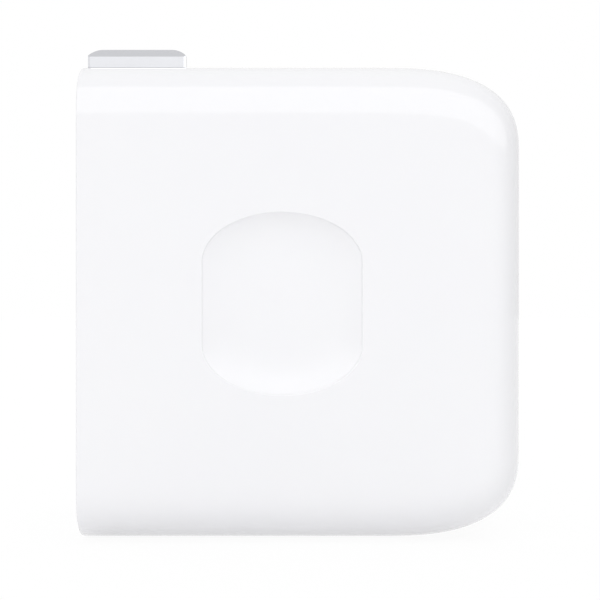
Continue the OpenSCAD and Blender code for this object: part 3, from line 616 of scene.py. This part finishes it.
def studio_world():
    """A white studio: broad soft lights on both broad sides, and a long box overhead for the shine."""
    world = bpy.data.worlds.new("white_studio")
    bpy.context.scene.world = world
    world.use_nodes = True
    tree = world.node_tree
    tree.nodes.clear()
    way = add(tree, "ShaderNodeTexCoord", output="Generated")
    axes = add(tree, "ShaderNodeSeparateXYZ", {0: way}).node.outputs

    # The box is seen where a line along the way meets its rectangle overhead
    up = add(tree, "ShaderNodeMath", {0: axes["Z"], 1: LEVEL}, operation="MAXIMUM")
    backward = add(tree, "ShaderNodeMath", {0: axes["Y"], 1: up}, operation="DIVIDE")
    aside = add(tree, "ShaderNodeMath", {0: axes["X"], 1: up}, operation="DIVIDE")
    box = 1.0
    for reach, outside, inside in (
            (backward, -BOX_FRONT - BOX_EDGE, -BOX_FRONT + BOX_EDGE),
            (backward, BOX_BACK + BOX_EDGE, BOX_BACK - BOX_EDGE),
            (aside, -BOX_SIDE - BOX_SIDE_EDGE, -BOX_SIDE + BOX_SIDE_EDGE),
            (aside, BOX_SIDE + BOX_SIDE_EDGE, BOX_SIDE - BOX_SIDE_EDGE)):
        edge = add(tree, "ShaderNodeMapRange", {"Value": reach, "From Min": outside, "From Max": inside},
                   interpolation_type="SMOOTHSTEP")
        box = add(tree, "ShaderNodeMath", {0: edge, 1: box}, operation="MULTIPLY")
    walls = add(tree, "ShaderNodeMapRange", {
        "Value": backward, "From Min": BOX_BACK - BOX_EDGE, "From Max": BOX_BACK + BOX_EDGE,
        "To Min": FRONT_SHINE, "To Max": BACK_SHINE}, interpolation_type="SMOOTHSTEP")
    shine = add(tree, "ShaderNodeMath", {0: box, 1: BOX_SHINE, 2: walls}, operation="MULTIPLY_ADD")

    across = add(tree, "ShaderNodeMath", {0: axes["Y"]}, operation="ABSOLUTE")
    light = 0.0
    for height, strength in ((LOW_LIGHT_DEG, LOW_LIGHT), (HIGH_LIGHT_DEG, HIGH_LIGHT)):
        level, rise = math.cos(math.radians(height)), math.sin(math.radians(height))
        lobe = add(tree, "ShaderNodeMath", {0: across, 1: level}, operation="MULTIPLY")
        lobe = add(tree, "ShaderNodeMath", {0: axes["Z"], 1: rise, 2: lobe}, operation="MULTIPLY_ADD")
        lobe = add(tree, "ShaderNodeMath", {0: lobe, 1: 0.0}, operation="MAXIMUM")
        lobe = add(tree, "ShaderNodeMath", {0: lobe, 1: LIGHT_NARROWNESS}, operation="POWER")
        light = add(tree, "ShaderNodeMath", {0: lobe, 1: strength, 2: light}, operation="MULTIPLY_ADD")

    path = add(tree, "ShaderNodeLightPath").node.outputs
    seen = add(tree, "ShaderNodeMath", {0: path["Is Camera Ray"], 1: path["Is Transmission Ray"]},
               operation="MAXIMUM")
    strength = add(tree, "ShaderNodeMix", {0: path["Is Glossy Ray"], 2: light, 3: shine}, data_type="FLOAT")
    strength = add(tree, "ShaderNodeMix", {0: seen, 2: strength, 3: 1.0}, data_type="FLOAT")
    back = add(tree, "ShaderNodeBackground", {"Color": linear(WHITE), "Strength": strength})
    add(tree, "ShaderNodeOutputWorld", {"Surface": back})


def camera():
    """A level camera in front of the broad side."""
    data = bpy.data.cameras.new("camera")
    data.sensor_width = SENSOR
    data.lens = SENSOR * NEAR_PX_PER_MM * NEAR_DISTANCE / PICTURE_PX
    data.clip_start = 0.005
    data.clip_end = 10.0
    eye = bpy.data.objects.new("camera", data)
    bpy.context.scene.collection.objects.link(eye)
    eye.location = Vector((0, -HALF_T - NEAR_DISTANCE, CAMERA_HEIGHT)) * MM
    eye.rotation_euler = (math.pi / 2, 0, 0)
    bpy.context.scene.camera = eye


def dress_nodes(finishes):
    """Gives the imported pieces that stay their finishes, by their material slots."""
    for nodes, surface in finishes.items():
        for node in ([nodes] if isinstance(nodes, str) else nodes):
            for material_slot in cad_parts[node].material_slots:
                material_slot.material = surface


camera()
satin, plating = satin_polycarbonate(), plated_brass()
stainless, black_polymer = stamped_stainless(), liquid_crystal_polymer()
housing(glossy_polycarbonate(), satin_grip())
refined("wall_plate", "wall_face_plate", "housing", "white_housing", satin, MOULDED_EDGE)
refined("prong_rotor", "prong_barrel", "prongs", "white_housing", satin, MOULDED_EDGE)
for pole in ("line", "neutral"):
    refined("blade_" + pole, "plug_blade_" + pole, "prongs", "blade_metal", plating, BLADE_EDGE,
            round_deg=60, crease_deg=30)
refined("usb_c_shell", "socket_shell", "housing", "socket_steel", stainless, SOCKET_EDGE)
refined("usb_c_tongue", "socket_tongue", "housing", "socket_insulator", black_polymer, TONGUE_EDGE)
dress_nodes({
    "hinge_cover": moulded_inner_plastic(),
    "detent_spring": spring_steel(),
    ("contact_spring_line", "contact_spring_neutral"): phosphor_bronze(),
    ("input_board", "main_board", "port_board"): solder_mask(),
    "fuse": ceramic("glazed_fuse_ceramic", "#cfc8b4", "#ded8c6", (0.24, 0.38)),
    "inrush_thermistor": ceramic("dark_dipped_ceramic", "#1b1f25", "#2a2f37", (0.34, 0.48)),
    "y_capacitor": ceramic("blue_dipped_ceramic", "#2f549a", "#4571bb", (0.29, 0.43)),
    "x_capacitor": film("yellow_film_capacitor_case", "#cfa92c", "#e2bf45", (0.35, 0.5)),
    ("choke_core", "transformer_core"): sintered_ferrite(),
    "choke_windings": wound_wire("enamelled_copper_wire", "#8a4a1e", "#c9783c", pitch_mm=0.35,
                                 metallic=0.8),
    "transformer_winding": wound_wire("taped_winding", "#d2b02c", "#edcf55", pitch_mm=0.3, metallic=0.0),
    "transformer_bobbin": black_polymer,
    ("bridge_rectifier", "switch_controller", "sync_rectifier", "pd_controller", "load_switch",
     "optocoupler"): chip_package(),
    "heat_spreader": rolled_aluminium("rolled_aluminium_spreader", "#a9adb3", "#c2c6cb", (0.22, 0.4)),
    "thermal_pad": film("silicone_thermal_pad", "#8397aa", "#99abbc", (0.55, 0.7)),
    "isolation_sheet": film("amber_isolation_film", "#e8dcb9", "#f5edd6", (0.2, 0.35)),
    "bulk_capacitors": film("capacitor_sleeve", "#181c21", "#272c33", (0.3, 0.45)),
    "output_capacitor": rolled_aluminium("drawn_aluminium_can", "#bfc2c6", "#d4d7da", (0.17, 0.35)),
    "usb_c_contacts": gold_flash(),
})
white_floor()
studio_world()

scene = bpy.context.scene
scene.view_settings.view_transform = "Standard"
